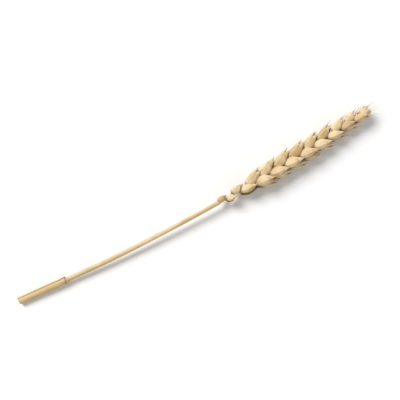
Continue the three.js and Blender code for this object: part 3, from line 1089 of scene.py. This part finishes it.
class WHEAT_OT_ligule(bpy.types.Operator):
    """Makes the ligule, the thin frayed collar between the sheath's mouth and the stem"""
    bl_idname = "wheat.ligule"
    bl_label = "Ligule"

    def execute(self, context):
        settings = context.scene.wheat_scales
        low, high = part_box("flag_leaf_sheath")
        mouth = high.x - low.x

        def radius_at(share, across, angle):
            slack = 0.5 * LIGULE_GAP * noise.noise(Vector((angle * 2, share * 2, 9)))
            return CULM_RADIUS + LIGULE_GAP + slack

        def edge_at(across, angle):
            slow = noise.noise(Vector((angle * 2.2, 4, 1)))
            quick = noise.noise(Vector((angle * 7, 1, 4)))
            corner = rise(abs(across - 0.5), 0.3, 0.5)
            return 0.5 * MM * (slow + 0.5 * quick) - 0.8 * MM * corner

        span = (mouth - LIGULE_BELOW, mouth + LIGULE_ABOVE)
        mesh = wrapped_sheet("ligule", span, LIGULE_TURN, LIGULE_GRID, radius_at,
                             lambda share, angle: LIGULE_THICKNESS, edge_at,
                             lambda share, across: LIGULE_SHADE)
        finish = stem_finish("ligule_skin", settings, 0.6, 0.3, 60.0)
        show("ligule", mesh, finish)
        return {"FINISHED"}


class WHEAT_OT_basal_scales(bpy.types.Operator):
    """Makes the small sterile spikelets at the foot of the ear"""
    bl_idname = "wheat.basal_scales"
    bl_label = "Basal scales"

    def execute(self, context):
        settings = context.scene.wheat_scales
        finish = scale_finish("basal_scale_straw", settings, 0.15, 7.0, 0.0, GLUME_KEEL)
        draw = DRAWS["basal_scales"]
        copies = scale_copies(range(BASAL_SPIKELETS), lambda index: GLUMES, settings, draw)
        mesh = set_out("basal_scales", glume_shapes("basal"), copies, finish, settings.swell, draw)
        nodes = [f"basal_spikelet_{n + 1}" for n in range(BASAL_SPIKELETS)]
        show("basal_scales", mesh, None, nodes)
        return {"FINISHED"}


class WHEAT_OT_glumes(bpy.types.Operator):
    """Makes the two outer scales of each full spikelet"""
    bl_idname = "wheat.glumes"
    bl_label = "Glumes"

    def execute(self, context):
        settings = context.scene.wheat_scales
        finish = scale_finish("glume_straw", settings, 0.0, 7.0, 0.0, GLUME_KEEL)
        draw = DRAWS["glumes"]
        copies = scale_copies(full_spikelets(), lambda index: GLUMES, settings, draw)
        mesh = set_out("glumes", glume_shapes("glume"), copies, finish, settings.swell, draw)
        show("glumes", mesh, None, spikelet_nodes("glume_left", "glume_right"))
        return {"FINISHED"}


class WHEAT_OT_lemmas(bpy.types.Operator):
    """Makes the rounded outer scale of each floret"""
    bl_idname = "wheat.lemmas"
    bl_label = "Lemmas"

    def execute(self, context):
        settings = context.scene.wheat_scales
        # 0.6: how far the lemma's sunken sides are browned as painted shade.
        finish = scale_finish("lemma_straw", settings, -0.12, 9.0, 0.6)
        draw = DRAWS["lemmas"]
        copies = scale_copies(full_spikelets(), floret_scales, settings, draw)
        mesh = set_out("lemmas", lemma_shapes("lemma"), copies, finish, settings.swell, draw)
        show("lemmas", mesh, None, spikelet_nodes("florets"))
        return {"FINISHED"}


class WHEAT_OT_paleas(bpy.types.Operator):
    """Makes the inner scale of each floret, swollen by its kernel"""
    bl_idname = "wheat.paleas"
    bl_label = "Paleas"

    def execute(self, context):
        settings = context.scene.wheat_scales
        # 0.3: how far the palea's sunken sides are browned as painted shade.
        finish = scale_finish("palea_straw", settings, 0.25, 5.0, 0.3)
        draw = DRAWS["paleas"]
        copies = scale_copies(range(SPIKELET_COUNT), palea_scales, settings, draw, PALEA_SIZE)
        mesh = set_out("paleas", palea_shapes("palea"), copies, finish, 0.5 * settings.swell, draw)
        show("paleas", mesh, None)
        return {"FINISHED"}


class WHEAT_OT_rachillas(bpy.types.Operator):
    """Makes the short stalk and swollen base inside each spikelet, which carry its florets; its darker
    finish is painted shade that deepens the gaps between the scales
    """
    bl_idname = "wheat.rachillas"
    bl_label = "Rachillas"

    def execute(self, context):
        settings = context.scene.wheat_scales
        # Shifted towards tan and browned at its sides: painted shade in the gaps between the scales.
        finish = scale_finish("rachilla_straw", settings, 0.6, 3.0, 0.65)
        draw = DRAWS["rachillas"]
        copies = scale_copies(range(SPIKELET_COUNT), lambda index: [RACHILLA], settings, draw)
        mesh = set_out("rachillas", palea_shapes("rachilla"), copies, finish, settings.swell, draw)
        show("rachillas", mesh, None)
        return {"FINISHED"}


class WHEAT_OT_awnlets(bpy.types.Operator):
    """Makes the short bristle at the tip of each lemma"""
    bl_idname = "wheat.awnlets"
    bl_label = "Awnlets"

    def execute(self, context):
        settings = context.scene.wheat_scales
        finish = scale_finish("awnlet_straw", settings, 0.1, 1.0)
        copies = []
        lemmas = scale_copies(full_spikelets(), floret_scales, settings, DRAWS["lemmas"])
        owners = [i for i in full_spikelets() for _ in floret_scales(i)]
        random = np.random.RandomState(settings.seed + DRAWS["awnlets"])
        for index, (place, measure, shape, tone) in zip(owners, lemmas):
            hand = 1 if shape < VARIANTS else -1
            root = Matrix.Translation((measure[0] * 0.96, 0, 0.06 * measure[2] * hand))
            spin = Matrix.Rotation(random.uniform(0, 2 * math.pi), 4, "X")
            reach = awn_length(index) * random.uniform(0.8, 1.05) + 0.045 * measure[0]
            width = settings.awn_radius * (0.8 + 0.4 * fullness(index))
            copies.append((place @ root @ spin, (reach, width, width), 0, tone))
        shapes = [awnlet_shape("awnlet")]
        mesh = set_out("awnlets", shapes, copies, finish, settings.swell, DRAWS["lemmas"])
        show("awnlets", mesh, None)
        return {"FINISHED"}


HAIR_RADIUS = 0.013 * MM


class WHEAT_OT_rachis_hairs(bpy.types.Operator):
    """Makes the fringe of short hairs along the rachis and at the foot of each spikelet"""
    bl_idname = "wheat.rachis_hairs"
    bl_label = "Rachis hairs"

    def execute(self, context):
        settings = context.scene.wheat_scales
        finish = scale_finish("hair_straw", settings, -0.4, 1.0)
        draw = DRAWS["rachis_hairs"]
        random = np.random.RandomState(settings.seed + draw)
        copies = []
        for index in range(SPIKELET_COUNT):
            centre = spikelet_distance(index)
            for _ in range(settings.hairs):
                distance = centre - random.uniform(-0.6, 2.6) * MM
                point, along, side, up = STALK.station(distance)
                radius = 0.9 * stalk_radius(distance, STALK.length)
                edge = random.choice((-1, 1)) * (math.pi / 2 + random.normal(0, 0.3))
                out = side * math.cos(edge) + up * math.sin(edge)
                start = point + side * zigzag(distance, STALK.length) + out * radius
                lie = (along + out * random.uniform(0.35, 0.9)).normalized()
                place = lie.to_track_quat("X", "Z").to_matrix().to_4x4()
                place.translation = start
                length = settings.hair_length * random.uniform(0.5, 1)
                measure = (length, HAIR_RADIUS, HAIR_RADIUS)
                copies.append((place, measure, 0, random.uniform(0, 1)))
        mesh = set_out("rachis_hairs", [hair_shape("hair")], copies, finish, 0.0, draw)
        show("rachis_hairs", mesh, None)
        return {"FINISHED"}


FLOOR_REACH = 40  # lengths of the ear and stem
FRAMING = 0.515  # half the width that the view takes in, as a share of the object's
# Bearing in the view, height and spread of each light, in degrees
KEY_LIGHT = (140, 49, 32)
FILL_LIGHT = (-35, 35, 80)


class WHEAT_OT_stage(bpy.types.Operator):
    """Sets out the floor, the soft lights and the camera"""
    bl_idname = "wheat.stage"
    bl_label = "Stage"

    def execute(self, context):
        settings = context.scene.wheat_stage
        low, high = CAD_BOX
        centre = (low + high) / 2
        lay_floor(settings, high.x - low.x)
        light_stage(context.scene, settings)
        aim_camera(context.scene, centre, high - low, settings)
        context.scene.view_settings.view_transform = "Standard"
        return {"FINISHED"}


def lay_floor(settings, length):
    mesh = bpy.data.meshes.new("floor")
    reach = FLOOR_REACH * length
    corners = [(-reach, -reach, 0), (reach, -reach, 0), (reach, reach, 0), (-reach, reach, 0)]
    mesh.from_pydata(corners, [], [(0, 1, 2, 3)])
    floor = bpy.data.objects.new("floor", mesh)
    bpy.context.scene.collection.objects.link(floor)
    material, _, shader = material_board("floor_paint", 0.9, 0.1)
    shader.inputs["Base Color"].default_value = settings.floor
    mesh.materials.append(material)


def light_stage(scene, settings):
    """A soft key from the view's upper left, a weak fill opposite and an even white room."""
    world = bpy.data.worlds.new("studio")
    world.use_nodes = True
    board = Board(world.node_tree)
    room = world.node_tree.nodes["Background"]
    room.inputs["Color"].default_value = (1, 1, 1, 1)
    seen = board.add("ShaderNodeLightPath").outputs["Is Camera Ray"]
    strength = board.add("ShaderNodeMapRange", {0: seen, 3: settings.room, 4: 1.0}).outputs[0]
    board.tree.links.new(strength, room.inputs["Strength"])
    scene.world = world
    lights = (("key", KEY_LIGHT, settings.key), ("fill", FILL_LIGHT, settings.fill))
    for name, (bearing, height, spread), power in lights:
        light = bpy.data.lights.new(name, "SUN")
        light.angle = math.radians(spread)
        light.energy = power
        lamp = bpy.data.objects.new(name, light)
        angle = math.radians(bearing) - settings.roll
        level = math.cos(math.radians(height))
        toward = Vector((math.cos(angle) * level, math.sin(angle) * level,
                         math.sin(math.radians(height))))
        lamp.location = toward
        lamp.rotation_euler = toward.to_track_quat("Z", "Y").to_euler()
        scene.collection.objects.link(lamp)


def aim_camera(scene, centre, extent, settings):
    """From above, rolled so that the stem rises to the right, and leaning to one side row."""
    camera = bpy.data.cameras.new("camera")
    camera.lens = settings.lens
    camera.clip_start = 0.01
    camera.clip_end = 50
    half = math.atan(camera.sensor_width / 2 / camera.lens)
    wide = extent.x * math.cos(settings.roll) + extent.y * math.sin(settings.roll)
    distance = wide * FRAMING / math.tan(half)
    turn = Matrix.Rotation(settings.lean, 4, "X") @ Matrix.Rotation(-settings.roll, 4, "Z")
    holder = bpy.data.objects.new("camera", camera)
    holder.matrix_world = Matrix.Translation(centre) @ turn @ Matrix.Translation((0, 0, distance))
    scene.collection.objects.link(holder)
    scene.camera = holder


STEPS = (
    WHEAT_OT_stalk, WHEAT_OT_sheath, WHEAT_OT_ligule, WHEAT_OT_basal_scales, WHEAT_OT_glumes,
    WHEAT_OT_lemmas, WHEAT_OT_paleas, WHEAT_OT_rachillas, WHEAT_OT_awnlets,
    WHEAT_OT_rachis_hairs, WHEAT_OT_stage,
)


class WHEAT_PT_panel(bpy.types.Panel):
    """Lists the pieces of the wheat ear and their settings"""
    bl_idname = "WHEAT_PT_panel"
    bl_label = "Wheat Ear"
    bl_space_type = "VIEW_3D"
    bl_region_type = "UI"
    bl_category = "Wheat"

    def draw(self, context):
        for group in ("wheat_stem", "wheat_scales", "wheat_stage"):
            settings = getattr(context.scene, group)
            box = self.layout.box()
            for name in settings.__annotations__:
                box.prop(settings, name)
        for step in STEPS:
            self.layout.operator(step.bl_idname)


SETTINGS = (WheatScaleSettings, WheatStemSettings, WheatStageSettings)


def register():
    for kind in (*SETTINGS, *STEPS, WHEAT_PT_panel):
        bpy.utils.register_class(kind)
    bpy.types.Scene.wheat_scales = PointerProperty(type=WheatScaleSettings)
    bpy.types.Scene.wheat_stem = PointerProperty(type=WheatStemSettings)
    bpy.types.Scene.wheat_stage = PointerProperty(type=WheatStageSettings)


def unregister():
    del bpy.types.Scene.wheat_stage
    del bpy.types.Scene.wheat_stem
    del bpy.types.Scene.wheat_scales
    for kind in reversed((*SETTINGS, *STEPS, WHEAT_PT_panel)):
        bpy.utils.unregister_class(kind)


def main():
    register()
    for step in STEPS:
        group, call = step.bl_idname.split(".")
        getattr(getattr(bpy.ops, group), call)()


if __name__ == "__main__":
    main()
